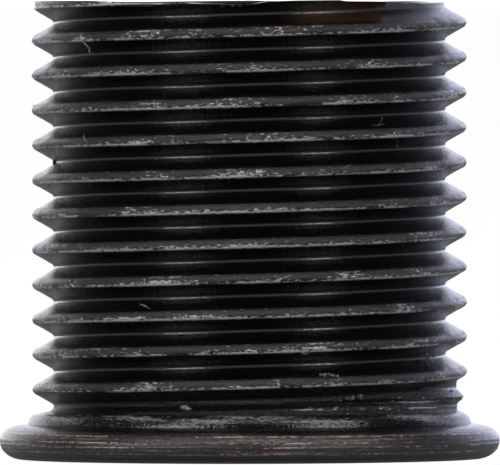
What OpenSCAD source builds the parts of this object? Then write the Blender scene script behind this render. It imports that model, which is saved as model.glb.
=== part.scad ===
// Flanged threaded insert, a thin steel bushing threaded inside and out.
// It stands on its flange: +Z runs along the bore towards the free end, and the
// origin is the centre of the flange's flat face. All sizes are in millimetres.

/* [Inner thread] */
// Nominal size of the inner thread, across its roots
inner_d = 14; // [8:0.5:24]
// Distance from one turn to the next, the same inside and outside
pitch = 1.25; // [0.8:0.05:1.75]
// How far the countersink at the flange widens the bore's radius
flange_mouth = 0.6; // [0.2:0.05:0.65]
// How far the countersink at the free end widens the bore's radius
free_mouth = 0.3; // [0.1:0.05:0.4]

/* [Outer thread] */
// Wall from the inner thread's roots to the outer thread's crests
wall = 0.8; // [0.7:0.05:2]
// Width of the flat on each crest
crest_w = 0.16; // [0.1:0.01:0.35]
// Width of the flat in each root
root_w = 0.19; // [0.05:0.01:0.3]
// Height above the flange's flat face at which the helix starts, at the front
helix_start = 0.32; // [0:0.02:1.24]
// Angle around the bore at which the topmost turn stops short, from +X
start_angle = 308; // [0:5:355]
// Chamfer on the crests at the free end
edge_break = 0.12; // [0.02:0.01:0.2]
// Whole length of the insert, flange included
length = 16.45; // [9:0.05:30]

/* [Flange] */
// How far the flange stands out past the outer thread's crests
flange_lip = 1.15; // [0.5:0.05:3]
// Thickness of the flange
flange_h = 1.25; // [0.9:0.01:2.5]
// Height of the rim's widest line above the flat face
rim_h = 0.64; // [0.4:0.01:0.85]
// How far the rim's lower round reaches in from the widest line
rim_round = 0.8; // [0.3:0.05:1.1]

/* [Collar] */
// How far the collar above the flange stands out past the crests
collar_lip = 0.14; // [0.05:0.01:0.4]
// Height of the collar above the flange
collar_h = 0.47; // [0.2:0.01:1]
// Depth of the relief groove above the collar, from the crests
relief_depth = 0.37; // [0.1:0.01:0.6]
// Width of the relief groove along the bore
relief_w = 0.36; // [0.15:0.01:1]

/* [Smoothness] */
// Flat steps in one turn of the outer thread
steps = 48; // [24:4:72]
// Flat steps in each round of the flange and the collar
round_steps = 8; // [4:1:16]

/* [Hidden] */
// Half the angle between the two flanks of a metric thread
flank_angle = 30;
// Spare size of a cutting shape, past the surface that it cuts
spare = 0.5;
crest_r = inner_d / 2 + wall;
flank_h = (pitch - crest_w - root_w) / 2;
root_r = crest_r - flank_h / tan(flank_angle);
// A metric inner thread is cut five eighths as deep as its sharp triangle
bore_r = inner_d / 2 - 5 / 8 * pitch * cos(flank_angle);
flange_r = crest_r + flange_lip;
collar_r = crest_r + collar_lip;
relief_r = crest_r - relief_depth;
collar_top = flange_h + collar_h;
// The thread is buried in the flange up to this height
thread_foot = flange_h / 2;
// Turns of the rod that the thread is cut from, with one to spare at each end
turns = ceil(length / pitch) + 2;
// Front of the insert, where helix_start is measured
front_angle = 270;
// One turn of the outer thread as radius and height, from the foot of a root flat
turn_profile = [
    [root_r, 0],
    [root_r, root_w],
    [crest_r, root_w + flank_h],
    [crest_r, root_w + flank_h + crest_w]
];
// Foot of the rod: half a turn profile lies below the middle of its crest
rod_foot = helix_start - pitch * front_angle / 360 - root_w - flank_h - crest_w / 2;
// Steps up the helix to the blunt start, on the last turn that meets the free end
start_turn = ceil((length - rod_foot - root_w) / pitch - start_angle / 360) - 1;
start_step = round((start_turn + start_angle / 360) * steps);

// Points on a quarter ellipse about a centre, from one angle to another
function ellipse_arc(centre, half_w, half_h, from, to) = [
    for (i = [0:round_steps])
        let (a = from + (to - from) * i / round_steps)
            centre + [half_w * cos(a), half_h * sin(a)]
];

// Point j of the turn profile, carried s steps up the helix, on the root past the start
function helix_point(s, j) =
    let (a = 360 * s / steps, r = s > start_step ? root_r : turn_profile[j][0])
        [r * cos(a), r * sin(a), turn_profile[j][1] + pitch * s / steps];

// A rod with the outer thread on it, turn on turn, with a ramp at each end.
// Its points run up the helix, so the row after a turn's last is the next turn's first.
module threaded_rod() {
    rows = len(turn_profile);
    last = turns * steps;
    foot = (last + 1) * rows;
    head = foot + 1;
    points = concat(
        [for (s = [0:last], j = [0:rows - 1]) helix_point(s, j)],
        [[0, 0, 0], [0, 0, helix_point(last, rows - 1)[2]]]
    );
    flanks = [
        for (s = [0:last - 1], j = [0:rows - 1])
            let (above = j < rows - 1 ? s * rows + j + 1 : (s + steps) * rows)
                if (above + rows < foot)
                    [s * rows + j, above, above + rows, (s + 1) * rows + j]
    ];
    foot_ramp = [for (s = [0:steps - 1]) [foot, s * rows, (s + 1) * rows]];
    foot_step = [concat([foot, steps * rows], [for (j = [rows - 1:-1:0]) j])];
    head_ramp = [
        for (s = [last - steps:last - 1])
            [head, (s + 2) * rows - 1, (s + 1) * rows - 1]
    ];
    head_step = [
        concat(
            [head, (last - steps + 1) * rows - 1],
            [for (j = [0:rows - 1]) last * rows + j]
        )
    ];
    polyhedron(
        points = points,
        faces = concat(flanks, foot_ramp, foot_step, head_ramp, head_step)
    );
}

// The round blank that bounds the thread: relief groove, free end and its chamfer
module blank() {
    rotate_extrude()
        polygon([
            [0, thread_foot],
            [relief_r, thread_foot],
            [relief_r, collar_top + relief_w],
            [crest_r + spare, collar_top + relief_w],
            [crest_r + spare, length - edge_break - spare],
            [crest_r - edge_break, length],
            [0, length]
        ]);
}

// The outer thread on its solid core
module outer_thread() {
    intersection() {
        blank();
        translate([0, 0, rod_foot])
            threaded_rod();
    }
}

// Flange with its rounded rim, and the collar that the thread runs out on
module flange() {
    rotate_extrude()
        polygon(concat(
            [[0, 0]],
            ellipse_arc([flange_r - rim_round, rim_h], rim_round, rim_h, -90, 0),
            ellipse_arc([crest_r, rim_h], flange_lip, flange_h - rim_h, 0, 70),
            [[collar_r, flange_h]],
            ellipse_arc([relief_r, flange_h], collar_r - relief_r, collar_h, 0, 90),
            [[0, collar_top]]
        ));
}

// Smooth bore at the inner thread's crests, countersunk at both ends
module bore() {
    translate([0, 0, -spare])
        cylinder(h = length + 2 * spare, r = bore_r, $fn = 96);
    translate([0, 0, -spare])
        cylinder(
            h = flange_mouth + spare,
            r1 = bore_r + flange_mouth + spare,
            r2 = bore_r,
            $fn = 96
        );
    translate([0, 0, length - free_mouth])
        cylinder(
            h = free_mouth + spare,
            r1 = bore_r,
            r2 = bore_r + free_mouth + spare,
            $fn = 96
        );
}

// The insert, turned and threaded from one piece of steel
module threaded_insert() {
    color("#2b2b2c")
        difference() {
            union() {
                flange();
                outer_thread();
            }
            bore();
        }
}

threaded_insert();
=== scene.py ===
"""Looks of a flanged threaded insert: a thin steel bushing, threaded inside and out.

The insert stands on its flange. Its surfaces are worked out in millimetres and go into
the meshes in metres. Angles run around the bore from +X, and the front faces -Y.
"""

from __future__ import annotations

import logging
import math
from dataclasses import dataclass
from enum import Enum

import bpy
import numpy as np
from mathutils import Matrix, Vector

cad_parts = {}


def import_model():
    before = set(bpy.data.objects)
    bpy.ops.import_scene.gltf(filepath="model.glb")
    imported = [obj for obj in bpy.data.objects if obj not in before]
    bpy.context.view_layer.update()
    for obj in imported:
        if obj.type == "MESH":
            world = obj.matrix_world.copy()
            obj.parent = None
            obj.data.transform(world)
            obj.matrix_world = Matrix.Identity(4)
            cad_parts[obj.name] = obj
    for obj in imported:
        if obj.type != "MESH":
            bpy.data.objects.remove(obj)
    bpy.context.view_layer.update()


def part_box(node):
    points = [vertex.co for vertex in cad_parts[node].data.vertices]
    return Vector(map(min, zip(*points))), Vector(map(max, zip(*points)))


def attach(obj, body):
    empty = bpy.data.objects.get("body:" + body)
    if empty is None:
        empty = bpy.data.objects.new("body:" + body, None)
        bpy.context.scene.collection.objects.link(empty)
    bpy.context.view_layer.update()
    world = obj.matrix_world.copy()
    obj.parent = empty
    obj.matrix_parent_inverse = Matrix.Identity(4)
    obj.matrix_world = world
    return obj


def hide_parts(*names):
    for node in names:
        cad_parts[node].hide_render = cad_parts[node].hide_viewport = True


LOG = logging.getLogger("threaded_insert")
MM = 0.001
NODE = "threaded_insert"
FRONT = 270.0

Array = np.ndarray
Tree = bpy.types.NodeTree
Socket = bpy.types.NodeSocket


def srgb(code: str) -> tuple[float, float, float, float]:
    """Turn an sRGB hex colour into linear RGBA.

    Args:
        code: the colour as "#rrggbb".

    Returns:
        Linear red, green and blue, and an alpha of 1.
    """
    channels = [int(code[i : i + 2], 16) / 255.0 for i in (1, 3, 5)]
    linear = [c / 12.92 if c <= 0.04045 else ((c + 0.055) / 1.055) ** 2.4 for c in channels]
    return (linear[0], linear[1], linear[2], 1.0)


def soft_min(a: Array, b: Array, width: float) -> Array:
    """Take the lower of two arrays, with the corner where they cross rounded.

    The corner is lowered by (width - |a - b|) squared over four widths.

    Args:
        a: first array.
        b: second array.
        width: difference between the two at which the rounding starts.

    Returns:
        The blended minimum.
    """
    near = np.clip(width - np.abs(a - b), 0.0, None)
    return np.minimum(a, b) - near**2 / (4.0 * width)


def ease(x: Array, low: float, high: float) -> Array:
    """Rise smoothly from 0 at low to 1 at high, as 3t² - 2t³."""
    t = np.clip((x - low) / (high - low), 0.0, 1.0)
    return t * t * (3.0 - 2.0 * t)


def bump(x: Array, centre: float, half_width: float) -> Array:
    """Rise smoothly to 1 at centre, and fall to 0 at half_width from it."""
    return ease(half_width - np.abs(x - centre), 0.0, half_width)


@dataclass(frozen=True)
class Ripple:
    """A random curve: seeded heights at even knots, eased from each to the next.

    seed picks the heights between low and high, and knot is their distance in millimetres.
    """

    seed: int
    knot: float
    low: float
    high: float

    def at(self, u: Array) -> Array:
        """Give the curve's height at each length.

        Args:
            u: lengths in millimetres.

        Returns:
            The heights.
        """
        heights = np.random.default_rng(self.seed).uniform(self.low, self.high, 2048)
        x = u / self.knot
        i = np.floor(x).astype(int)
        t = ease(x - i, 0.0, 1.0)
        return heights[i % 2048] * (1.0 - t) + heights[(i + 1) % 2048] * t


class Wall(Enum):
    """The insert's two threaded walls."""

    OUTER = "outer"
    BORE = "bore"


@dataclass(frozen=True)
class InsertSizes:
    """The insert's sizes in millimetres. length and flange_r come from the CAD node's box.

    crest_w is the width of the thread's crest, and crest_round how far its corners round.
    root_flat and root_round are half widths of the root's flat and of its fillet. A mouth
    is a countersink's depth, and collar_lip how far the collar stands out past the crests.
    The lead is the trim of the crests at the free end.
    """

    length: float
    flange_r: float
    pitch: float = 1.25
    inner_d: float = 14.0
    wall: float = 0.8
    crest_w: float = 0.2
    crest_round: float = 0.2
    root_round: float = 0.12
    root_flat: float = 0.035
    helix_start: float = 0.32
    flange_mouth: float = 0.6
    free_mouth: float = 0.3
    flange_h: float = 1.25
    rim_h: float = 0.64
    rim_round: float = 0.8
    collar_lip: float = 0.14
    collar_h: float = 0.47
    relief_depth: float = 0.37
    relief_w: float = 0.36
    start_angle: float = 309.0
    lead_depth: float = 0.13
    lead_h: float = 0.32

    @property
    def crest_r(self) -> float:
        """Radius of the outer thread's crests."""
        return self.inner_d / 2 + self.wall

    @property
    def root_r(self) -> float:
        """Radius of the outer thread's roots, where fillets join the 30 degree flanks."""
        deep = self.pitch - self.crest_w - self.root_round - self.root_flat
        return self.crest_r - deep / 2 * math.sqrt(3.0)

    @property
    def bore_r(self) -> float:
        """Radius of the inner thread's crests, five eighths of its sharp triangle deep."""
        return self.inner_d / 2 - 5 / 16 * self.pitch * math.sqrt(3.0)

    @property
    def relief_r(self) -> float:
        """Radius of the relief groove's floor."""
        return self.crest_r - self.relief_depth

    @property
    def collar_top(self) -> float:
        """Height of the collar's top."""
        return self.flange_h + self.collar_h

    @property
    def thread_low(self) -> float:
        """Height above which the rows of the mesh follow the helix."""
        return self.collar_top + self.relief_w + 0.4

    @property
    def start_x(self) -> float:
        """How far to the right of the bore's axis the flat of the blunt start lies."""
        return self.crest_r * math.sin(math.radians(self.start_angle - FRONT))


@dataclass(frozen=True)
class ThreadSurface:
    """Radius of the outer wall and the bore at each share of a turn and height.

    A share runs from 0 to 1 around the bore from the seam, at the back. The ripples are
    the damage along the crests: dips and nicks in them, their ragged edges, and the thin
    fins that the torn edges raise.
    """

    sizes: InsertSizes
    seam_angle: float = 90.0
    dips: Ripple = Ripple(11, 0.9, 0.0, 0.02)
    nicks: Ripple = Ripple(12, 0.3, -0.05, 0.05)
    upper_edge: Ripple = Ripple(13, 0.42, -0.02, 0.025)
    lower_edge: Ripple = Ripple(14, 0.38, -0.02, 0.03)
    upper_fin: Ripple = Ripple(15, 0.36, -0.03, 0.022)
    lower_fin: Ripple = Ripple(16, 0.4, -0.025, 0.028)
    # How fast, radius over height, the thread runs out at the collar and at the relief
    collar_slope: float = 3.0
    relief_slope: float = 8.0
    # Heights above the collar, half width and relief of the lines that the relief tool left
    tool_heights: tuple[float, ...] = (0.18, 0.39)
    tool_half: float = 0.045
    tool_raise: float = 0.02
    # Heights from the crest's middle between which the edges' ripples fade out
    fade: tuple[float, float] = (0.16, 0.3)
    # A nick is what its ripple has over nick_from, times nick_deep
    nick_from: float = 0.025
    nick_deep: float = 1.6
    # Height from the crest's middle, and half width, of the fins
    fin_at: float = 0.14
    fin_half: float = 0.06
    # Middle, reach and fade of the torn ridge in degrees from the front, heights above
    # the collar of the ridge and of its bed, and the bed's half width
    ridge_degrees: tuple[float, float, float] = (98.0, 58.0, 34.0)
    ridge_over: float = 0.51
    bed_over: float = 0.95
    bed_half: float = 0.22
    # Degrees from the front between which the tool's marks on the right fade out
    right_fade: tuple[float, float] = (110.0, 150.0)
    # Narrow facet of the broken top edge, what the chip adds, and its middle and half width
    facet: float = 0.04
    chipped: float = 0.07
    chip_degrees: tuple[float, float] = (-4.5, 11.0)
    # The worn free end: degrees from the front and heights below the tallest spot
    rim_angles: tuple[float, ...] = (
        -90, -46.5, -44, -17, -14, -3, 1, 5, 13, 25.5, 27, 38, 42, 62, 90, 120, 150, 180, 215, 270
    )
    rim_drops: tuple[float, ...] = (
        0.02, 0.02, 0.09, 0.1, 0.13, 0.16, 0.15, 0.06, 0.02, 0.01, 0.05, 0.06, 0.1, 0.13,
        0.1, 0.05, 0.09, 0.03, 0.07, 0.02
    )

    @property
    def crest_foot(self) -> float:
        """Height of the crest's middle at the seam, at the foot of the helix."""
        s = self.sizes
        return s.helix_start - s.pitch * (FRONT - self.seam_angle) / 360.0

    def front_degrees(self, share: Array) -> Array:
        """Angle from the front, from -90 to 270, positive towards +X."""
        return (share * 360.0 + self.seam_angle - FRONT + 90.0) % 360.0 - 90.0

    def helix(self, share: Array, z: Array) -> tuple[Array, Array]:
        """Place points on the helix.

        Args:
            share: share of a turn from the seam, 0 to 1.
            z: height in millimetres.

        Returns:
            Turns up the helix to the point, and its height above the nearest crest's middle.
        """
        climb = (z - self.crest_foot) / self.sizes.pitch - share
        turn = np.round(climb)
        return turn + share, (climb - turn) * self.sizes.pitch

    def along(self, turns: Array) -> Array:
        """Length along the crest, in millimetres, at each number of turns."""
        return turns * (2.0 * math.pi * self.sizes.crest_r)

    def start_turn(self) -> float:
        """Find the blunt start, on the last turn that meets the free end.

        Returns:
            Turns up the helix to it.
        """
        s = self.sizes
        share = (s.start_angle - self.seam_angle) / 360.0
        highest = (s.length - self.crest_foot) / s.pitch + 0.5 - share
        return math.ceil(highest) - 1 + share

    def rim(self, share: Array) -> Array:
        """Height of the free end's worn edge, joined smoothly through the measured drops."""
        drop = np.interp(self.front_degrees(share), self.rim_angles, self.rim_drops)
        return self.sizes.length - drop

    def outer_thread(self, share: Array, z: Array) -> Array:
        """Radius of the outer thread with its torn crests.

        Each side of the crest's middle is a flank line, crest radius less the height past
        the crest's edge over tan 30°. The lower of crest and flank gives the form. A
        parabola from root_flat to root_round on either side of the root's middle joins
        each flank to the root. The ripples move the edges, and fade out down the flank.

        Args:
            share: share of a turn from the seam.
            z: height in millimetres.

        Returns:
            The radius in millimetres.
        """
        s = self.sizes
        turns, h = self.helix(share, z)
        u = self.along(turns)
        above = h > 0.0
        fade = 1.0 - ease(np.abs(h), *self.fade)
        edge = s.crest_w / 2 + fade * np.where(above, self.upper_edge.at(u), self.lower_edge.at(u))
        nick = np.clip(self.nicks.at(u) - self.nick_from, 0.0, None) * self.nick_deep
        crest = s.crest_r - self.dips.at(u) - nick
        flank = s.crest_r - (np.abs(h) - edge) * math.sqrt(3.0)
        radius = soft_min(crest, flank, s.crest_round)
        fin = np.where(above, self.upper_fin.at(u), self.lower_fin.at(u))
        radius += np.clip(fin, 0.0, None) * bump(np.abs(h), self.fin_at, self.fin_half)
        from_root = s.pitch / 2 - np.abs(h)
        past_flat = np.clip(from_root - s.root_flat, 0.0, None)
        fillet = s.root_r + math.sqrt(3.0) * past_flat**2 / (2.0 * (s.root_round - s.root_flat))
        radius = np.where(from_root < s.root_round, fillet, radius)
        past = (turns > self.start_turn()) & (h > -s.pitch / 2)
        return np.where(past, np.minimum(radius, self.start_flat(share)), radius)

    def start_flat(self, share: Array) -> Array:
        """Radius of the flat that ends the thread: start_x over the sine, or the root's.

        Args:
            share: share of a turn from the seam.

        Returns:
            The radius in millimetres.
        """
        s = self.sizes
        degrees = self.front_degrees(share)
        flat = s.start_x / np.sin(np.radians(np.clip(degrees, 1.0, 90.0)))
        return np.where(degrees < 90.0, np.maximum(flat, s.root_r), s.root_r)

    def lead(self, share: Array, z: Array) -> Array:
        """Greatest radius below the free end: a trim of the crests and a broken top edge.

        The edge is a 45 degree facet, wider near the front where the end is chipped.

        Args:
            share: share of a turn from the seam.
            z: height in millimetres.

        Returns:
            The radius in millimetres.
        """
        s = self.sizes
        trim = s.lead_depth * ease(z, s.length - 1.3 * s.lead_h, s.length - 0.7 * s.lead_h)
        facet = self.facet + self.chipped * bump(self.front_degrees(share), *self.chip_degrees)
        return s.crest_r + 0.02 - trim - np.clip(z - self.rim(share) + facet, 0.0, None)

    def torn_ridge(self, share: Array, z: Array) -> Array:
        """Radius of the torn ridge that fills the last groove on the right.

        It is a ridge with straight sides on a low bed, and both fade out around the bore.

        Args:
            share: share of a turn from the seam.
            z: height in millimetres.

        Returns:
            The ridge's radius, down to the root's where there is none.
        """
        s = self.sizes
        middle, reach, fade = self.ridge_degrees
        window = ease(reach - np.abs(self.front_degrees(share) - middle), 0.0, fade)
        over = z - s.collar_top
        ridge = s.crest_r - 0.12 - 0.95 * np.abs(over - self.ridge_over)
        past_bed = np.clip(np.abs(over - self.bed_over) - self.bed_half, 0.0, None)
        bed = s.relief_r - 0.02 - 2.5 * past_bed
        return s.root_r + (np.maximum(np.maximum(ridge, bed), s.root_r) - s.root_r) * window

    def tool_lines(self, share: Array, z: Array) -> Array:
        """Strength of the two raised lines that the relief tool left on the right.

        Args:
            share: share of a turn from the seam.
            z: height in millimetres.

        Returns:
            The strength, 0 to 1.
        """
        over = z - self.sizes.collar_top
        lines = np.max([bump(over, height, self.tool_half) for height in self.tool_heights], axis=0)
        degrees = self.front_degrees(share)
        return lines * ease(degrees, 4.0, 20.0) * (1.0 - ease(degrees, *self.right_fade))

    def cut_thread(self, share: Array, z: Array) -> Array:
        """Radius of the thread with its last groove running out below the collar's top."""
        run_out = self.collar_slope * np.clip(self.sizes.collar_top - z, 0.0, None)
        return self.outer_thread(share, z) + run_out

    def outer(self, share: Array, z: Array) -> Array:
        """Radius of the whole outer wall above the collar.

        It is the least of the thread's, the relief groove's and the lead's, or the torn
        ridge's where that is more, with the tool lines on top.

        Args:
            share: share of a turn from the seam.
            z: height in millimetres.

        Returns:
            The radius in millimetres.
        """
        s = self.sizes
        relief = s.relief_r + self.relief_slope * np.clip(z - s.collar_top - s.relief_w, 0.0, None)
        radius = np.minimum(np.minimum(self.cut_thread(share, z), relief), self.lead(share, z))
        lines = self.tool_raise * self.tool_lines(share, z)
        return np.maximum(radius, self.torn_ridge(share, z)) + lines

    def bore(self, share: Array, z: Array) -> Array:
        """Radius of the bore: the inner thread, in step with the outer one, and countersinks.

        The inner thread's groove lies behind the outer crest. Its radius is the groove's
        less the height past the groove's edge over tan 30°, and no less than the bore's.

        Args:
            share: share of a turn from the seam.
            z: height in millimetres.

        Returns:
            The radius in millimetres.
        """
        s = self.sizes
        _, h = self.helix(share, z)
        past = np.clip(np.abs(h) - s.pitch / 16, 0.0, None)
        thread = np.clip(s.inner_d / 2 - past * math.sqrt(3.0), s.bore_r, None)
        low = s.bore_r + s.flange_mouth - z
        high = s.bore_r + s.free_mouth - (s.length - z)
        return np.maximum(thread, np.maximum(low, high))


@dataclass
class Patch:
    """A grid of the shell, rows by columns: its points, its finish coordinates and masks."""

    points: Array
    lay: Array
    wear: Array
    turning: Array
    inward: bool = False

    def quads(self) -> Array:
        """Corners of each cell of the grid, turned to face out of the steel.

        Returns:
            Four point numbers for each cell.
        """
        rows, columns = self.points.shape[:2]
        index = np.arange(rows * columns).reshape(rows, columns)
        cells = np.stack(
            [index[:-1, :-1], index[:-1, 1:], index[1:, 1:], index[1:, :-1]], axis=-1
        ).reshape(-1, 4)
        return cells[:, ::-1] if self.inward else cells


@dataclass
class InsertBody:
    """The bushing: one closed shell, built of grids that share their edge rings."""

    sizes: InsertSizes
    columns: int = 288
    crease: float = 50.0
    # Heights, half width and relief of the raised turning lines on the flange's rim, and
    # the power of the rim's upper curve
    turning_lines: tuple[float, ...] = (0.35, 0.58, 0.74, 0.97)
    line_half: float = 0.03
    line_raise: float = 0.012
    fullness: float = 2.4
    # Depths below the crests where the crest's mask starts and is whole, heights above the
    # roots where the root's mask fades, that mask's half width, and the stain's strength
    crest_deep: tuple[float, float] = (0.3, 0.16)
    root_high: tuple[float, float] = (0.08, 0.16)
    root_half: float = 0.055
    stained: float = 0.75
    # Heights from the crest's middle of the thread's rows of points
    thread_rows: tuple[float, ...] = (0.07, 0.14, 0.2, 0.29, 0.4, 0.505, 0.55, 0.59)

    def __post_init__(self) -> None:
        """Place the columns around the bore."""
        self.surface = ThreadSurface(self.sizes)
        self.share = np.arange(self.columns + 1) / self.columns
        angle = np.radians(self.surface.seam_angle + 360.0 * self.share)
        self.around = np.stack([np.cos(angle), np.sin(angle)], axis=-1)
        self.around[-1] = self.around[0]

    def place(self, radius: Array, z: Array) -> Array:
        """Points of a grid of radii and heights, as x = r cos a and y = r sin a."""
        return np.concatenate([radius[..., None] * self.around, z[..., None]], axis=-1)

    def wear(self, share: Array, z: Array, radius: Array) -> Array:
        """Masks of the thread's finish: whole crest, brown stain, burnished root.

        The crest's mask is 1 where the wall reaches out to the crests. The stain lies
        ahead of the blunt start, on the last turn. The root's mask runs along the groove's
        bottom, a lighter line that is partly burnish and partly a painted highlight, and over
        all of the core past the blunt start, which it paints lighter as painted light.

        Args:
            share: share of a turn from the seam.
            z: height in millimetres.
            radius: radius of the wall there.

        Returns:
            The three masks along a last axis.
        """
        s = self.sizes
        turns, h = self.surface.helix(share, z)
        deep, whole = self.crest_deep
        crest = ease(radius, s.crest_r - deep, s.crest_r - whole)
        near, far = self.root_high
        near_root = 1.0 - ease(radius, s.root_r + near, s.root_r + far)
        ahead = turns - self.surface.start_turn()
        last = ease(ahead, -0.09, -0.05) * (ahead < 0.0) * (h < -0.1)
        below = ease(ahead, -1.09, -1.05) * (ahead < -0.992) * (h > 0.22)
        stain = self.stained * np.maximum(last, below) * (radius < s.crest_r - 0.2)
        past = (ahead > 0.0) & (h > -s.pitch / 2)
        # Painted highlight along the root, left out under the stain, where the groove is in shade
        line = bump(np.abs(h), s.pitch / 2, self.root_half) * (1.0 - stain)
        root = np.where(past, 1.0, line) * near_root
        return np.stack([crest, stain, root], axis=-1)

    def turned(self, radius: Array, z: Array, raised: Array) -> Patch:
        """Make a grid whose rows lie level around the bore, as a lathe tool leaves them.

        Args:
            radius: radii, rows by columns.
            z: heights, rows by columns.
            raised: strength of the raised turning lines, 0 to 1.

        Returns:
            The patch. Its finish runs around the bore and across the contour.
        """
        points = self.place(radius, z)
        step = np.linalg.norm(np.diff(points[:, 0], axis=0), axis=-1)
        across = 2.0 * np.concatenate([[0.0], np.cumsum(step)])[:, None] + np.zeros_like(z)
        lay = np.stack([points[..., 0], across, points[..., 1]], axis=-1)
        turning = np.stack([np.ones_like(z), raised, np.zeros_like(z)], axis=-1)
        return Patch(points, lay, np.zeros_like(points), turning)

    def level(self, radius: Array, z: Array, raised: Array) -> Patch:
        """Make a grid of level rows with the dull finish of the torn bed.

        The bed has specks of bare steel on the right. Its lay starts clear of the height
        that the finish takes for the crest's middle.

        Args:
            radius: radii, rows by columns.
            z: heights, rows by columns.
            raised: strength of the tool's raised lines, 0 to 1.

        Returns:
            The patch.
        """
        patch = self.turned(radius, z, raised)
        degrees = self.surface.front_degrees(self.share)
        patch.wear[..., 0] = ease(degrees, 8.0, 26.0) * (1.0 - ease(degrees, *self.surface.right_fade))
        patch.lay[..., 1] += 10.0
        patch.turning[..., 0] = 0.0
        patch.turning[..., 2] = 1.0
        return patch

    def helical(self, rows: Array, low: float, high: Array, wall: Wall) -> Patch:
        """Make a grid whose rows climb with the thread, cut off at low and high.

        Row i of a turn lies rows[i] above the crest's middle. A turn's last row lies on
        the next turn's first, one pitch up. Rows past a cut lie on the cut.

        Args:
            rows: heights of one turn's rows, rising, over one pitch.
            low: height of the lower cut.
            high: height of the upper cut at each column.
            wall: which wall to follow.

        Returns:
            The patch.
        """
        s = self.sizes
        surface = self.surface
        first = math.floor((low - surface.crest_foot) / s.pitch) - 2
        last = math.ceil((s.length - surface.crest_foot) / s.pitch) + 1
        turn = np.repeat(np.arange(first, last), len(rows))[:, None] + self.share
        offset = np.tile(rows, last - first)[:, None] + 0.0 * turn
        z = np.clip(surface.crest_foot + s.pitch * turn + offset, low, high)
        share = self.share + 0.0 * z
        radius = surface.outer(share, z) if wall is Wall.OUTER else surface.bore(share, z)
        lay = np.stack([surface.along(turn), 2.0 * offset, 0.0 * z], axis=-1)
        wear = self.wear(share, z, radius)
        turning = np.zeros_like(lay)
        # Bare flecks along the worn top edge, partly wear and partly a painted highlight
        turning[..., 1] = 0.4 * bump(z, surface.rim(self.share), 0.12) * (wall is Wall.OUTER)
        return Patch(self.place(radius, z), lay, wear, turning, wall is Wall.BORE)

    def contour(self) -> tuple[Array, Array, Array, Array]:
        """Contour of the flange and collar, from the bore's mouth to the relief groove.

        The rim is an ellipse below its widest line. Above it the powers of both shares sum
        to 1, so it is fuller, and the collar is a quarter ellipse. Rows beside each turning
        line let it stand up sharply.

        Returns:
            Radii, heights, strengths of the turning lines, and shares of turned finish, which
            also carry painted shade and a painted highlight.
        """
        s = self.sizes
        rows = np.linspace(0.0, 1.0, 9)
        below = s.rim_h * (1.0 - np.cos(rows * math.pi / 2))[1:]
        upper_h = s.flange_h - s.rim_h
        above = s.rim_h + upper_h * np.sin(rows * 1.4)[1:] ** 0.83
        lines = np.array(self.turning_lines)
        beside = np.concatenate([lines - 0.035, lines, lines + 0.035])
        z = np.sort(np.concatenate([below, above, beside]))
        sink = np.clip((s.rim_h - z) / s.rim_h, 0.0, 1.0)
        rise = np.clip((z - s.rim_h) / upper_h, 0.0, 1.0) ** self.fullness
        low_r = s.flange_r - s.rim_round * (1.0 - np.sqrt(1.0 - sink**2))
        high_r = s.crest_r + (s.flange_r - s.crest_r) * (1.0 - rise) ** (1 / self.fullness)
        raised = np.max([bump(z, line, self.line_half) for line in self.turning_lines], axis=0)
        rim = np.where(z < s.rim_h, low_r, high_r) + self.line_raise * raised
        turn = np.radians(np.linspace(4.0, 86.0, 9))
        shoulder_r = s.relief_r - 0.03 + (s.collar_lip + s.relief_depth + 0.03) * np.cos(turn)
        shoulder_z = s.flange_h - 0.02 + (s.collar_h + 0.02) * np.sin(turn)
        face = np.linspace(s.bore_r + s.flange_mouth, s.flange_r - s.rim_round, 4)
        radius = np.concatenate([face, rim, shoulder_r])
        height = np.concatenate([np.zeros(4), z, shoulder_z])
        # The turning lines' bare flecks are partly painted highlights, and on the collar the line and
        # the turned finish rise in the middle of its curve as a painted highlight
        line = np.concatenate([np.zeros(4), 0.75 * raised, 0.45 * np.sin(2.0 * turn) ** 2])
        # Painted shade: the foot and the groove below the collar get less of the turned finish, so
        # they render darker
        foot = 0.15 + 0.85 * ease(z, 0.22, 0.32)
        finish = np.concatenate(
            [np.ones(4), foot * (1.0 - 0.95 * ease(z, 1.02, 1.1)), 0.25 * np.sin(2.0 * turn) ** 2]
        )
        return radius, height, line, finish

    def flange(self) -> Patch:
        """The flange and collar, where the thread's last groove runs out in the collar.

        Returns:
            The patch, from the bore's mouth to the collar's last ring.
        """
        s = self.sizes
        radius, z, line, finish = (
            values[:, None] + 0.0 * self.share for values in self.contour()
        )
        cut = np.minimum(radius, self.surface.cut_thread(self.share + 0.0 * z, z))
        radius = np.where(z > s.flange_h + 0.1, cut, radius)
        radius[0] = self.surface.bore(self.share, z[0])
        patch = self.turned(radius, z, line)
        patch.turning[..., 0] = finish
        return patch

    def relief(self, foot: Patch) -> Patch:
        """The relief groove, from the collar's last ring up to the helical rows.

        Args:
            foot: the flange's patch, which ends in that ring.

        Returns:
            The patch.
        """
        s = self.sizes
        low = float(foot.points[-1, 0, 2])
        lines = s.collar_top + np.array(self.surface.tool_heights)
        beside = np.concatenate([lines - 0.04, lines, lines + 0.04])
        z = np.sort(np.concatenate([np.linspace(low, s.thread_low, 17), beside]))
        z = z[:, None] + 0.0 * self.share
        share = self.share + 0.0 * z
        radius = self.surface.outer(share, z)
        radius[0] = np.hypot(foot.points[-1, :, 0], foot.points[-1, :, 1])
        return self.level(radius, z, self.surface.tool_lines(share, z))

    def countersink(self, start: Array | float, end: float, rows: int) -> Patch:
        """The bore's wall near a mouth, in rows at even steps between two heights.

        Args:
            start: height of the first row, for all columns or for each.
            end: height of the last row.
            rows: number of rows.

        Returns:
            The patch.
        """
        t = np.linspace(0.0, 1.0, rows)[:, None]
        z = start * (1.0 - t) + end * t + 0.0 * self.share
        return self.turned(self.surface.bore(self.share + 0.0 * z, z), z, 0.0 * z)

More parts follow.
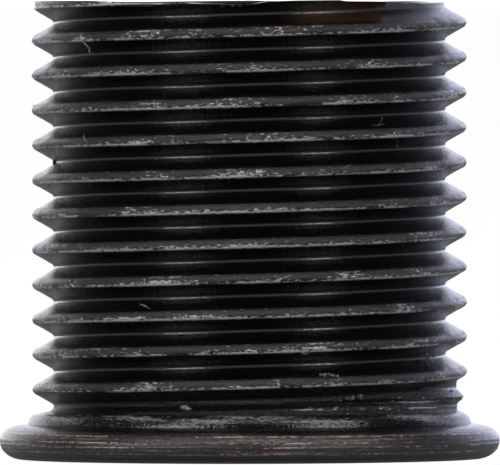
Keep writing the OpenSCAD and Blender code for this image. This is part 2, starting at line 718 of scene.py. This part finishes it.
    def patches(self) -> list[Patch]:
        """Build the grids, from the flange's face over the thread and back down the bore.

        Returns:
            The patches, in that order.
        """
        s = self.sizes
        surface = self.surface
        flange = self.flange()
        half = np.array([*self.thread_rows, s.pitch / 2])
        rows = np.concatenate([-half[::-1], [0.0], half])
        rim = surface.rim(self.share)
        thread = self.helical(rows, s.thread_low, rim, Wall.OUTER)

        blend = np.linspace(0.0, 1.0, 4)[:, None]
        top_z = rim + 0.0 * blend
        top_r = surface.outer(self.share, rim) * (1.0 - blend) + surface.bore(self.share, rim) * blend
        face = self.turned(top_r, top_z, 0.0 * top_z)

        high_cut = s.length - s.free_mouth
        # The inner thread's groove is an eighth of the pitch wide, its crest a quarter
        half_bore = np.array([s.pitch / 16, s.pitch * 3 / 8, s.pitch / 2])
        bore_rows = np.concatenate([-half_bore[::-1], half_bore])
        bore = self.helical(bore_rows, s.flange_mouth, high_cut + 0.0 * rim, Wall.BORE)
        high_cone = self.countersink(rim, high_cut, 5)
        low_cone = self.countersink(s.flange_mouth, 0.0, 7)
        return [flange, self.relief(flange), thread, face, high_cone, bore, low_cone]

    def build(self) -> bpy.types.Object:
        """Weld the patches into one closed mesh of triangles.

        Points of neighbouring patches that coincide become one, and faces that this
        flattens are left out.

        Returns:
            The piece.
        """
        patches = self.patches()
        points = np.concatenate([patch.points.reshape(-1, 3) for patch in patches])
        starts = np.cumsum([0] + [patch.points.size // 3 for patch in patches[:-1]])
        quads = np.concatenate([patch.quads() + start for patch, start in zip(patches, starts)])
        corners = np.concatenate([quads[:, [0, 1, 2]], quads[:, [0, 2, 3]]])
        _, keep, weld = np.unique(
            np.round(points, 5), axis=0, return_index=True, return_inverse=True
        )
        triangles = weld.reshape(-1)[corners]
        a, b, c = triangles.T
        whole = (a != b) & (b != c) & (c != a)
        piece = make_piece("insert_body", points[keep], triangles[whole], self.crease)
        for name in ("lay", "wear", "turning"):
            values = np.concatenate([getattr(patch, name).reshape(-1, 3) for patch in patches])
            layer = piece.data.attributes.new(name, "FLOAT_VECTOR", "CORNER")
            layer.data.foreach_set("vector", values[corners[whole].ravel()].ravel())
        return piece

    def dress(self, piece: bpy.types.Object) -> None:
        """Give the shell its finish, and let it stand for the CAD node.

        Args:
            piece: the shell.
        """
        piece.data.materials.append(BlackOxideSteel().material())
        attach(piece, "root")
        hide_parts(NODE)


@dataclass(frozen=True)
class Sliver:
    """A hair of torn steel: a thin bent rod that tapers to a point at both ends.

    It is placed by degrees from the front, a height and a radius. run, rise and out are
    its length around the bore, along it and away from it, and bow_rise and bow_out are
    how far its middle bends off the straight line, all in millimetres.
    """

    degrees: float
    height: float
    radius: float
    run: float
    rise: float
    out: float = 0.0
    bow_rise: float = 0.0
    bow_out: float = 0.1
    thick: float = 0.028


@dataclass(frozen=True)
class Chip:
    """A crumb of torn steel: an uneven lump on the thread.

    It is placed by degrees from the front, a height and a radius. long, high and deep are
    its half sizes around the bore, along it and away from it, in millimetres.
    """

    degrees: float
    height: float
    radius: float
    long: float
    high: float
    deep: float = 0.04


@dataclass
class Burrs:
    """The hairs and crumbs of torn steel that the thread's edges hold."""

    sizes: InsertSizes
    crumbs: int = 90
    seed: int = 5
    # Degrees from the front around which the crumbs lie and their spread, their height
    # from the crest's middle, and their shortest and longest half length
    crumb_degrees: tuple[float, float] = (5.0, 38.0)
    crumb_side: float = 0.15
    crumb_long: tuple[float, float] = (0.02, 0.07)
    slivers: tuple[Sliver, ...] = (
        Sliver(-48.2, 14.86, 7.82, 0.55, -0.34, 0.05, 0.05),
        Sliver(-47.6, 14.68, 7.7, 0.1, -0.3, 0.0, 0.0, 0.03),
        Sliver(-48.3, 11.54, 7.82, 0.22, -0.3, 0.03),
        Sliver(17.6, 15.42, 7.74, 0.3, 0.42, 0.12, -0.08),
        Sliver(37.7, 12.0, 7.5, 0.66, 0.06, 0.1),
        Sliver(37.9, 12.14, 7.62, 0.06, 0.3, 0.12),
        Sliver(44.8, 11.3, 7.45, 0.05, 0.42, 0.0, 0.0, 0.05),
        Sliver(46.3, 11.22, 7.45, 0.16, 0.3, 0.0, 0.1, 0.05),
        Sliver(14.9, 4.02, 7.82, 0.4, 0.1, 0.02, -0.12),
        Sliver(-28.3, 5.55, 7.85, 0.5, -0.2, 0.03, 0.05),
        Sliver(26.5, 10.55, 7.85, 0.3, 0.16, 0.05),
    )
    chips: tuple[Chip, ...] = (
        Chip(20.3, 3.15, 7.78, 0.24, 0.08, 0.06),
        Chip(22.6, 3.1, 7.78, 0.2, 0.06, 0.05),
        Chip(-19.0, 2.0, 7.24, 0.14, 0.1),
        Chip(-17.5, 1.9, 7.26, 0.12, 0.14),
        Chip(-18.0, 1.72, 7.38, 0.16, 0.06),
        Chip(13.8, 2.6, 7.3, 0.05, 0.05),
        Chip(24.5, 1.98, 7.42, 0.12, 0.05),
        Chip(29.0, 2.3, 7.4, 0.2, 0.08),
        Chip(32.5, 2.36, 7.42, 0.16, 0.09),
        Chip(60.0, 3.74, 7.08, 0.12, 0.04, 0.04),
        Chip(62.0, 3.78, 7.12, 0.16, 0.06, 0.06),
        Chip(65.5, 3.86, 7.14, 0.12, 0.07, 0.06),
        Chip(67.0, 3.72, 7.14, 0.1, 0.05, 0.05),
        Chip(76.0, 2.45, 7.45, 0.12, 0.07, 0.05),
        Chip(80.0, 2.75, 7.35, 0.14, 0.06, 0.06),
        Chip(-82.3, 10.62, 7.06, 0.1, 0.12),
        Chip(-47.0, 10.4, 7.3, 0.08, 0.05),
        Chip(-16.0, 5.0, 7.06, 0.12, 0.07),
        Chip(25.0, 3.86, 7.05, 0.06, 0.05),
    )

    def place(self, degrees: Array, height: Array, radius: Array) -> Array:
        """Points at degrees from the front, a height and a radius."""
        angle = np.radians(degrees + FRONT)
        return np.stack([radius * np.cos(angle), radius * np.sin(angle), height], axis=-1)

    def sliver_points(self, sliver: Sliver) -> Array:
        """Rings of six points along a sliver.

        The middle line is start + span t + 4 bow t (1 - t), and the rings' radius is the
        thickness by the root of 4 t (1 - t), so both ends close in a point.

        Args:
            sliver: its place and size.

        Returns:
            The points, rings by points of a ring.
        """
        t = np.linspace(0.0, 1.0, 11)[:, None]
        bow = 4.0 * t * (1.0 - t)
        a = np.linspace(0.0, 2.0 * math.pi, 7)[:-1]
        thick = sliver.thick * np.sqrt(bow)
        run = sliver.run * (t - 0.5) + thick * np.cos(a) * 0.5
        rise = sliver.rise * (t - 0.5) + sliver.bow_rise * bow + thick * np.cos(a)
        out = sliver.out * (t - 0.5) + sliver.bow_out * (bow - 0.6) + thick * np.sin(a)
        degrees = sliver.degrees + np.degrees(run / sliver.radius)
        return self.place(degrees, sliver.height + rise, sliver.radius + out)

    def chip_points(self, chip: Chip, rng: np.random.Generator) -> Array:
        """Rings of seven points from pole to pole of a chip, each pushed in or out at random.

        A point's run, rise and out are the half sizes by cos t, sin t cos a and sin t sin a.

        Args:
            chip: its place and size.
            rng: source of the pushes.

        Returns:
            The points, rings by points of a ring.
        """
        t = np.linspace(0.0, math.pi, 6)[:, None]
        a = np.linspace(0.0, 2.0 * math.pi, 8)[:-1]
        push = rng.uniform(0.6, 1.25, (6, 7))
        push[[0, -1]] = 1.0
        run = chip.long * np.cos(t) * push
        rise = chip.high * np.sin(t) * np.cos(a) * push
        out = chip.deep * np.sin(t) * np.sin(a) * push
        degrees = chip.degrees + np.degrees(run / chip.radius)
        return self.place(degrees, chip.height + rise, chip.radius + out)

    def scattered(self, rng: np.random.Generator) -> list[Chip]:
        """Small crumbs along both edges of the crests, more of them near the front.

        Args:
            rng: source of their places and lengths.

        Returns:
            The crumbs that lie clear of both ends of the thread.
        """
        s = self.sizes
        surface = ThreadSurface(s)
        found = []
        for _ in range(self.crumbs):
            degrees = float(rng.normal(*self.crumb_degrees))
            share = (degrees + FRONT - surface.seam_angle) / 360.0
            turn = int(rng.integers(2, 13))
            side = float(rng.choice([-self.crumb_side, self.crumb_side]))
            height = surface.crest_foot + s.pitch * (turn + share) + side
            if height < s.thread_low + 0.4 or height > s.length - 0.5:
                continue
            long = float(rng.uniform(*self.crumb_long))
            found.append(Chip(degrees, height, s.crest_r - 0.07, long, 0.022, 0.035))
        return found

    def build(self) -> bpy.types.Object:
        """Join all slivers and chips into one mesh of closed lumps.

        Returns:
            The piece.
        """
        rng = np.random.default_rng(self.seed)
        lumps = [self.sliver_points(sliver) for sliver in self.slivers]
        lumps += [self.chip_points(chip, rng) for chip in (*self.chips, *self.scattered(rng))]
        points = []
        triangles = []
        start = 0
        for lump in lumps:
            rows, ring = lump.shape[:2]
            middle = lump[1:-1].reshape(-1, 3)
            count = len(middle)
            points += [middle, lump[:1, 0], lump[-1:, 0]]
            index = start + np.arange(count).reshape(rows - 2, ring)
            turned = np.roll(index, -1, axis=1)
            low = np.full(ring, start + count)
            high = np.full(ring, start + count + 1)
            triangles += [
                np.stack([index[:-1], turned[:-1], turned[1:]], axis=-1).reshape(-1, 3),
                np.stack([index[:-1], turned[1:], index[1:]], axis=-1).reshape(-1, 3),
                np.stack([low, turned[0], index[0]], axis=-1),
                np.stack([high, index[-1], turned[-1]], axis=-1),
            ]
            start += count + 2
        return make_piece("torn_burrs", np.concatenate(points), np.concatenate(triangles), 60.0)

    def dress(self, piece: bpy.types.Object) -> None:
        """Give the burrs their bare torn finish.

        Args:
            piece: the burrs.
        """
        piece.data.materials.append(TornSteel().material())
        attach(piece, "root")


def make_piece(name: str, points: Array, triangles: Array, crease: float) -> bpy.types.Object:
    """Put points and triangles into a new object at the origin, shaded smooth.

    Args:
        name: the piece's name.
        points: the points, in millimetres.
        triangles: three point numbers each.
        crease: angle in degrees above which an edge is shaded sharp.

    Returns:
        The piece.
    """
    mesh = bpy.data.meshes.new(name)
    mesh.vertices.add(len(points))
    mesh.vertices.foreach_set("co", (points * MM).ravel())
    mesh.loops.add(triangles.size)
    mesh.loops.foreach_set("vertex_index", triangles.ravel())
    mesh.polygons.add(len(triangles))
    mesh.polygons.foreach_set("loop_start", np.arange(0, triangles.size, 3))
    mesh.update(calc_edges=True)
    mesh.validate()
    mesh.polygons.foreach_set("use_smooth", np.ones(len(triangles), bool))
    mesh.set_sharp_from_angle(angle=math.radians(crease))
    piece = bpy.data.objects.new(name, mesh)
    bpy.context.scene.collection.objects.link(piece)
    LOG.info("%s: %d triangles", name, len(triangles))
    return piece


def add_node(
    tree: Tree, kind: str, links: dict | tuple = (), **settings: object
) -> bpy.types.bpy_prop_collection:
    """Add a shader node, set its properties and sockets, and link its inputs.

    Args:
        tree: the node tree.
        kind: the node's type name, less "ShaderNode".
        links: the values of its inputs or the output sockets that feed them, in order or
            by name. Map Range takes value, from min, from max, to min and to max.
        settings: the node's own properties.

    Returns:
        The node's outputs.
    """
    node = tree.nodes.new("ShaderNode" + kind)
    for key, value in settings.items():
        setattr(node, key, value)
    for key, source in links.items() if isinstance(links, dict) else enumerate(links):
        socket = node.inputs[key]
        if isinstance(source, bpy.types.NodeSocket):
            tree.links.new(source, socket)
        else:
            socket.default_value = source
    return node.outputs


def new_tree(owner: bpy.types.Material | bpy.types.World) -> Tree:
    """Give a material or world an empty node tree.

    Args:
        owner: the material or world.

    Returns:
        The tree.
    """
    owner.use_nodes = True
    owner.node_tree.nodes.clear()
    return owner.node_tree


@dataclass(frozen=True)
class BlackOxideSteel:
    """Turned carbon steel with a black oxide finish, oiled, torn bare along the crests.

    The oxide gives near-black flanks under a thin film of oil, which whitens at a grazing
    angle. Rubbing gives grey-brown crests. Their broken edges are torn steel painted near
    white, partly as painted glints, and each root has a lighter line, partly burnish and
    partly a painted highlight.
    """

    oxide: str = "#060607"
    rubbed: str = "#2b2928"
    turned: str = "#2a201a"
    # Near-white bare torn steel, partly painted glints
    bare: str = "#f0eff2"
    brown: str = "#3f2b1e"
    # Half width in millimetres of the crest's rubbed band, and distance from its middle
    # and half width of its torn edges
    band: float = 0.165
    edge: float = 0.14
    edge_width: float = 0.05
    # Noise values between which each kind of bare steel fades in
    torn: tuple[float, float] = (0.94, 0.98)
    scuffed: tuple[float, float] = (1.01, 1.05)
    ridged: tuple[float, float] = (0.88, 0.94)
    specked: tuple[float, float] = (0.62, 0.67)
    streaked: tuple[float, float] = (0.85, 0.97)

    def noises(self, tree: Tree, lay: Socket) -> list[Socket]:
        """Build the noises: glints, stretches and lines in the surface's lay, grain in place.

        Args:
            tree: the material's node tree.
            lay: millimetres along and half millimetres across the thread or the turning.

        Returns:
            The four noises.
        """
        noises = []
        for scale, detail, roughness in (
            # Glints of torn steel, about 0.2 mm long and 0.08 mm across
            ((4.4, 5.6, 4.4), 4.0, 0.8),
            # Stretches of 2 to 4 mm where the thread is torn more or less
            ((0.4, 0.7, 0.4), 2.0, 0.5),
            # Fine lines around the turned flange, 0.1 mm apart
            ((0.3, 6.0, 0.3), 2.0, 0.6),
        ):
            scaled = add_node(tree, "VectorMath", (lay, scale), operation="MULTIPLY")
            noise = add_node(
                tree,
                "TexNoise",
                {"Vector": scaled[0], "Scale": 1.0, "Detail": detail, "Roughness": roughness},
            )
            noises.append(noise["Fac"])
        # Pitted grain of the oxide, 0.1 mm
        place = add_node(tree, "TexCoord")["Object"]
        grain = add_node(
            tree, "TexNoise", {"Vector": place, "Scale": 9000.0, "Detail": 2.0, "Roughness": 0.6}
        )
        return [*noises, grain["Fac"]]

    def crest_masks(
        self, tree: Tree, lay: Socket, glints: Socket, crest: Socket
    ) -> tuple[Socket, Socket, Socket]:
        """Build the masks of the crest's rubbed band and torn edges.

        Args:
            tree: the material's node tree.
            lay: the surface's lay, as for the noises.
            glints: noise that makes the masks ragged.
            crest: mask of the whole crest.

        Returns:
            Band, edges, and how many more bare flecks the crest's lower side gets.
        """
        across = add_node(tree, "SeparateXYZ", {"Vector": lay})["Y"]
        # Distance from the crest's middle in half millimetres, with a ragged edge
        middle = add_node(tree, "Math", (across,), operation="ABSOLUTE")[0]
        ragged = add_node(tree, "Math", (glints, 0.3, middle), operation="MULTIPLY_ADD")[0]
        ragged = add_node(tree, "Math", (ragged, 0.15), operation="SUBTRACT")[0]
        band = add_node(
            tree, "MapRange", (ragged, 2.0 * self.band + 0.03, 2.0 * self.band - 0.03)
        )["Result"]
        band = add_node(tree, "Math", (band, crest), operation="MULTIPLY")[0]
        edge = add_node(tree, "Math", (ragged, 2.0 * self.edge), operation="SUBTRACT")[0]
        edge = add_node(tree, "Math", (edge,), operation="ABSOLUTE")[0]
        edge = add_node(tree, "MapRange", (edge, 2.0 * self.edge_width, self.edge_width))["Result"]
        # The crest's upper edge gets fewer bare flecks than its lower edge
        lower = add_node(tree, "MapRange", (across, 0.1, -0.1, 0.6))["Result"]
        for mask in (crest, lower):
            edge = add_node(tree, "Math", (edge, mask), operation="MULTIPLY")[0]
        # The crest also gets more bare flecks towards its lower edge
        lean = add_node(tree, "MapRange", (across, 0.33, -0.33, -0.05, 0.17))["Result"]
        return band, edge, lean

    def material(self) -> bpy.types.Material:
        """Build the material from the mesh's lay, wear and turning attributes.

        lay is millimetres along and half millimetres across the thread or the turning.
        wear holds the masks of crest, brown stain and root, whose lighter line is partly a
        painted highlight, and turning those of turned surface, raised turning line and torn
        bed.

        Returns:
            The material.
        """
        material = bpy.data.materials.new("black_oxide_steel")
        tree = new_tree(material)
        lay, wear, turning = (
            add_node(tree, "Attribute", attribute_name=name)["Vector"]
            for name in ("lay", "wear", "turning")
        )
        crest, stained, root = add_node(tree, "SeparateXYZ", {"Vector": wear})
        turned, raised, bed = add_node(tree, "SeparateXYZ", {"Vector": turning})
        glints, stretches, lines, grain = self.noises(tree, lay)
        band, edge, lean = self.crest_masks(tree, lay, glints, crest)
        beside = add_node(tree, "Math", (crest, band), operation="SUBTRACT", use_clamp=True)[0]
        bed_right = add_node(tree, "Math", (bed, crest), operation="MULTIPLY")[0]

        patchy = add_node(tree, "Math", (stretches, 0.7, glints), operation="MULTIPLY_ADD")[0]
        leaning = add_node(tree, "Math", (patchy, lean), operation="ADD")[0]
        combed = add_node(tree, "Math", (glints, 0.6, lines), operation="MULTIPLY_ADD")[0]
        # Near-white bare steel, partly real and partly painted glints and highlights: burnished roots,
        # then all that is torn, scuffed, ridged, specked or streaked bare
        bare = add_node(tree, "Math", (root, 0.1), operation="MULTIPLY")[0]
        for noise, (low, high), most, mask in (
            (leaning, self.torn, 1.0, edge),
            (leaning, self.scuffed, 1.0, band),
            (patchy, self.ridged, 1.0, raised),
            (glints, self.specked, 1.0, bed_right),
            (combed, self.streaked, 0.2, turned),
        ):
            shown = add_node(tree, "MapRange", (noise, low, high, 0.0, most))["Result"]
            shown = add_node(tree, "Math", (shown, mask), operation="MULTIPLY")[0]
            bare = add_node(tree, "Math", (bare, shown), operation="MAXIMUM")[0]

        rough = add_node(tree, "MapRange", (grain, 0.3, 0.7, 0.14, 0.28))["Result"]
        # A start, and masks by weight to add: brown bloom, roughness, metal and oil. The
        # oil has gathered in the roots, and handling spread it over the crests
        sums = []
        for total, terms in (
            (0.0, ((turned, 1.0), (band, 0.4), (beside, 0.3))),
            (rough, ((root, -0.12), (bed, 0.1), (band, 0.16), (turned, 0.24))),
            (0.0, ((bare, 0.15), (root, 0.25))),
            (0.25, ((root, 0.5), (band, 0.6), (turned, 0.66))),
        ):
            for mask, weight in terms:
                total = add_node(tree, "Math", (mask, weight, total), operation="MULTIPLY_ADD")[0]
            sums.append(total)
        bloom, rough, metal, oil = sums

        mottled = add_node(tree, "MapRange", (glints, 0.38, 0.58, 0.35))["Result"]
        mottled = add_node(tree, "Math", (mottled, band), operation="MULTIPLY")[0]
        stain = add_node(tree, "MapRange", (stretches, 0.46, 0.58, 0.0, 0.8))["Result"]
        stain = add_node(tree, "Math", (stain, bloom, stained), operation="MULTIPLY_ADD")[0]
        colour = srgb(self.oxide)
        for share, tint in (
            (mottled, self.rubbed),
            (turned, self.turned),
            (stain, self.brown),
            (bare, self.bare),
        ):
            colour = add_node(
                tree, "Mix", {"Factor": share, "A": colour, "B": srgb(tint)}, data_type="RGBA"
            )["Result"]

        # Relief: pits clear of the roots, folds of torn and turned steel, turning lines
        pits = add_node(tree, "Math", (root, -1.0, 1.0), operation="MULTIPLY_ADD")[0]
        pits = add_node(tree, "Math", (pits, grain), operation="MULTIPLY")[0]
        folds = add_node(tree, "Math", (band, bed), operation="MAXIMUM")[0]
        folds = add_node(tree, "Math", (turned, 0.4, folds), operation="MULTIPLY_ADD")[0]
        folds = add_node(tree, "Math", (folds, 2.4), operation="MULTIPLY")[0]
        height = pits
        for noise, mask in ((glints, folds), (lines, turned)):
            height = add_node(tree, "Math", (noise, mask, height), operation="MULTIPLY_ADD")[0]
        relief = add_node(
            tree, "Bump", {"Strength": 0.8, "Distance": 0.03 * MM, "Height": height}
        )["Normal"]
        surface = add_node(
            tree,
            "BsdfPrincipled",
            {
                "Base Color": colour,
                "Metallic": metal,
                "Roughness": rough,
                "Coat Weight": oil,
                "Coat Roughness": 0.08,
                "Normal": relief,
                "Coat Normal": relief,
            },
        )
        add_node(tree, "OutputMaterial", {"Surface": surface[0]})
        return material


@dataclass(frozen=True)
class TornSteel:
    """Freshly torn carbon steel, light and dark grey in grains."""

    bright: str = "#989593"
    dark: str = "#262322"

    def material(self) -> bpy.types.Material:
        """Build the material from a pattern of 0.1 mm grains.

        Returns:
            The material.
        """
        material = bpy.data.materials.new("torn_steel")
        tree = new_tree(material)
        place = add_node(tree, "TexCoord")["Object"]
        grain = add_node(
            tree, "TexNoise", {"Vector": place, "Scale": 7000.0, "Detail": 2.0, "Roughness": 0.6}
        )["Fac"]
        share = add_node(tree, "MapRange", (grain, 0.4, 0.62))["Result"]
        colour = add_node(
            tree,
            "Mix",
            {"Factor": share, "A": srgb(self.dark), "B": srgb(self.bright)},
            data_type="RGBA",
        )["Result"]
        relief = add_node(
            tree, "Bump", {"Strength": 0.5, "Distance": 0.02 * MM, "Height": grain}
        )["Normal"]
        surface = add_node(
            tree,
            "BsdfPrincipled",
            {"Base Color": colour, "Metallic": 0.3, "Roughness": 0.5, "Normal": relief},
        )
        add_node(tree, "OutputMaterial", {"Surface": surface[0]})
        return material


@dataclass(frozen=True)
class Softbox:
    """A soft lamp, placed by degrees from the camera's side, elevation and distance."""

    name: str
    degrees: float
    elevation: float
    distance: float
    width: float
    height: float
    power: float

    def build(self, aim: Vector) -> None:
        """Add the lamp.

        Args:
            aim: the point that it faces, in metres.
        """
        data = bpy.data.lights.new(self.name, "AREA")
        data.shape = "RECTANGLE"
        data.size = self.width
        data.size_y = self.height
        data.energy = self.power
        lamp = bpy.data.objects.new(self.name, data)
        turn = math.radians(self.degrees)
        lift = math.radians(self.elevation)
        level = self.distance * math.cos(lift)
        lamp.location = (
            level * math.sin(turn),
            -level * math.cos(turn),
            self.distance * math.sin(lift),
        )
        lamp.rotation_euler = (aim - lamp.location).to_track_quat("-Z", "Y").to_euler()
        lamp.visible_camera = False
        bpy.context.scene.collection.objects.link(lamp)


@dataclass(frozen=True)
class Studio:
    """White studio, darker on the camera's side, with softboxes left, right and overhead.

    Lengths are in metres. front_light, side_light and back_light are the strengths of the
    light that the insert gets from the camera's side, from either hand and from behind.
    """

    camera_distance: float = 0.75
    camera_height: float = 0.016881
    aim_height: float = 0.008111
    aim_side: float = 0.0000215
    frame_width: float = 0.017913
    roll_degrees: float = -0.096
    floor_reach: float = 14.0
    front_light: float = 0.07
    side_light: float = 0.48
    back_light: float = 1.15
    # Share of the floor's own light that reflections show, and what all others see of it
    floor_mirrored: float = 0.08
    floor_share: float = 0.92
    softboxes: tuple[Softbox, ...] = (
        Softbox("left_softbox", -41.0, 15.0, 1.2, 0.5, 0.62, 4.9),
        Softbox("right_softbox", 42.0, 15.0, 1.2, 0.36, 0.62, 3.9),
        Softbox("ceiling_softbox", 0.0, 66.0, 1.2, 1.2, 0.5, 2.2),
    )

    def camera(self) -> None:
        """Set the camera square to the front, a little above the insert."""
        data = bpy.data.cameras.new("camera")
        data.sensor_width = 36.0
        data.lens = data.sensor_width * self.camera_distance / self.frame_width
        data.clip_start = 0.01
        data.clip_end = 60.0
        camera = bpy.data.objects.new("camera", data)
        camera.location = (self.aim_side, -self.camera_distance, self.camera_height)
        aim = Vector((self.aim_side, 0.0, self.aim_height)) - camera.location
        camera.rotation_euler = aim.to_track_quat("-Z", "Y").to_euler()
        camera.rotation_euler.rotate_axis("Z", math.radians(self.roll_degrees))
        bpy.context.scene.collection.objects.link(camera)
        bpy.context.scene.camera = camera

    def seen(self, tree: Tree) -> Socket:
        """Give 1 to a ray that shows what it meets to the camera, and 0 to one that lights."""
        path = add_node(tree, "LightPath")
        return add_node(
            tree, "Math", (path["Is Camera Ray"], path["Is Transmission Ray"]), operation="MAXIMUM"
        )[0]

    def world(self) -> None:
        """White to the camera on every side, and a light that is dimmer from the front."""
        world = bpy.data.worlds.new("studio")
        bpy.context.scene.world = world
        tree = new_tree(world)
        seen = self.seen(tree)
        towards = add_node(tree, "TexCoord")["Generated"]
        right, back, up = add_node(tree, "SeparateXYZ", {"Vector": towards})
        lift = add_node(tree, "Math", (up,), operation="ABSOLUTE")[0]
        depth = add_node(tree, "Math", (lift, -0.7, back), operation="MULTIPLY_ADD")[0]
        light = 0.0
        for low, high, start, end in (
            (-0.1, 0.45, self.front_light, self.side_light),
            (0.5, 0.76, 0.0, self.back_light),
        ):
            step = add_node(
                tree, "MapRange", (depth, low, high, start, end), interpolation_type="SMOOTHSTEP"
            )["Result"]
            light = add_node(tree, "Math", (light, step), operation="ADD")[0]
        strength = add_node(tree, "Math", (seen, light), operation="MAXIMUM")[0]
        rightness = add_node(tree, "MapRange", (right, -0.3, 0.3))["Result"]
        # Bluer from the right, and white to the camera
        tint = srgb("#f4f3f4")
        for share, colour in ((rightness, srgb("#dde1ff")), (seen, (1, 1, 1, 1))):
            tint = add_node(
                tree, "Mix", {"Factor": share, "A": tint, "B": colour}, data_type="RGBA"
            )["Result"]
        glow = add_node(tree, "Background", {"Color": tint, "Strength": strength})
        add_node(tree, "OutputWorld", {"Surface": glow[0]})

    def floor(self) -> None:
        """A wide white floor that keeps the insert's shadow."""
        reach = self.floor_reach
        mesh = bpy.data.meshes.new("floor")
        corners = [(-reach, -reach, 0), (reach, -reach, 0), (reach, reach, 0), (-reach, reach, 0)]
        mesh.from_pydata(corners, [], [(0, 1, 2, 3)])
        floor = bpy.data.objects.new("floor", mesh)
        bpy.context.scene.collection.objects.link(floor)
        material = bpy.data.materials.new("white_floor")
        tree = new_tree(material)
        path = add_node(tree, "LightPath")
        mirrored = add_node(
            tree, "Math", (path["Is Glossy Ray"], self.floor_mirrored), operation="MULTIPLY"
        )[0]
        share = add_node(tree, "Math", (self.seen(tree), mirrored), operation="MAXIMUM")[0]
        share = add_node(tree, "Math", (share, self.floor_share), operation="MULTIPLY")[0]
        paper = add_node(
            tree,
            "Mix",
            {"Factor": path["Is Camera Ray"], "A": srgb("#a0a0a2"), "B": (1, 1, 1, 1)},
            data_type="RGBA",
        )["Result"]
        matt = add_node(tree, "BsdfDiffuse", {"Color": paper})[0]
        glow = add_node(tree, "Emission", {"Color": (1, 1, 1, 1), "Strength": 1.06})[0]
        mix = add_node(tree, "MixShader", (share, matt, glow))[0]
        add_node(tree, "OutputMaterial", {"Surface": mix})
        mesh.materials.append(material)

    def build(self) -> None:
        """Set up the camera, the white surroundings and the softboxes."""
        self.camera()
        self.world()
        self.floor()
        for softbox in self.softboxes:
            softbox.build(Vector((0.0, 0.0, self.aim_height)))
        bpy.context.scene.view_settings.view_transform = "Standard"


def main() -> None:
    logging.basicConfig(level=logging.INFO, format="%(name)s: %(message)s")
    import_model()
    low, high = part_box(NODE)
    sizes = InsertSizes(length=(high.z - low.z) / MM, flange_r=(high.x - low.x) / 2 / MM)
    Studio().build()
    body = InsertBody(sizes)
    body.dress(body.build())
    burrs = Burrs(sizes)
    burrs.dress(burrs.build())


if __name__ == "__main__":
    main()
